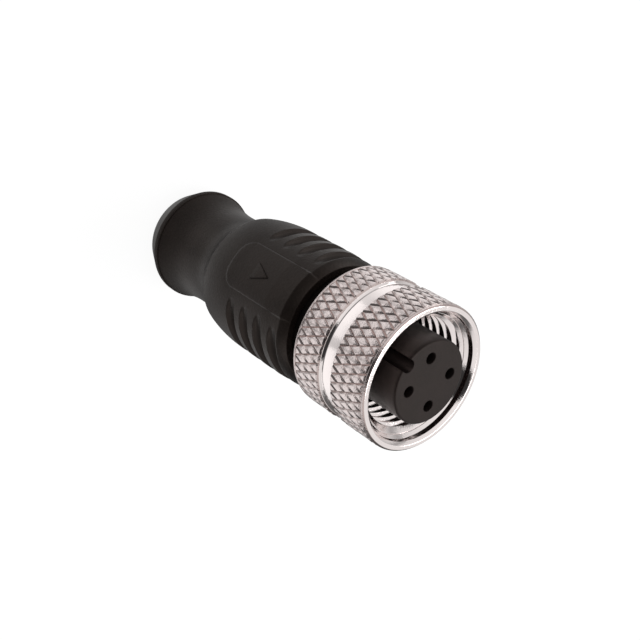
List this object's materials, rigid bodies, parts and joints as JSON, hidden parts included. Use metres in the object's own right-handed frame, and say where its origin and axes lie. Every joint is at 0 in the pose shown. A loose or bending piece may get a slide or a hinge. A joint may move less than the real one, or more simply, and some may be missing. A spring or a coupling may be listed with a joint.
{
  "type": "m12 connector",
  "caption": "Straight M12 circular female plug with a closed moulded grip body, keyed contact insert and a knurled coupling nut that turns freely.",
  "frame": {"origin": "centre of the flat rear end, where the plug stands", "axes": "+Z along the plug's axis to the mating face; the key slot and the label pad face -Y; +X completes the right-handed frame"},
  "size_m": [0.0148, 0.0148, 0.0402],
  "materials": {
    "grip_tpu": "matte fine-eroded charcoal black thermoplastic",
    "core_plastic": "black hard moulding",
    "carrier_plastic": "dark charcoal filled nylon",
    "contact_gold": "gold-plated turned brass",
    "seal_rubber": "black seal rubber",
    "nut_nickel": "bright nickel-plated turned brass",
    "resistor_lacquer": "lacquered film resistor",
    "lead_tin": "tinned copper wire"
  },
  "bodies": {
    "plug": {"grip_body": "grip_tpu", "inner_core": "core_plastic", "contact_carrier": "carrier_plastic", "socket_contact_1": "contact_gold", "socket_contact_2": "contact_gold", "socket_contact_3": "contact_gold", "socket_contact_4": "contact_gold", "seal_ring": "seal_rubber", "resistor_body": "resistor_lacquer", "resistor_lead_front": "lead_tin", "resistor_lead_rear": "lead_tin"},
    "nut": {"coupling_nut": "nut_nickel"}
  },
  "joints": [
    {"name": "nut_turn", "type": "hinge", "parent": "plug", "child": "nut", "pos_m": [0, 0, 0.0304], "axis": [0, 0, 1], "continuous": true}
  ]
}
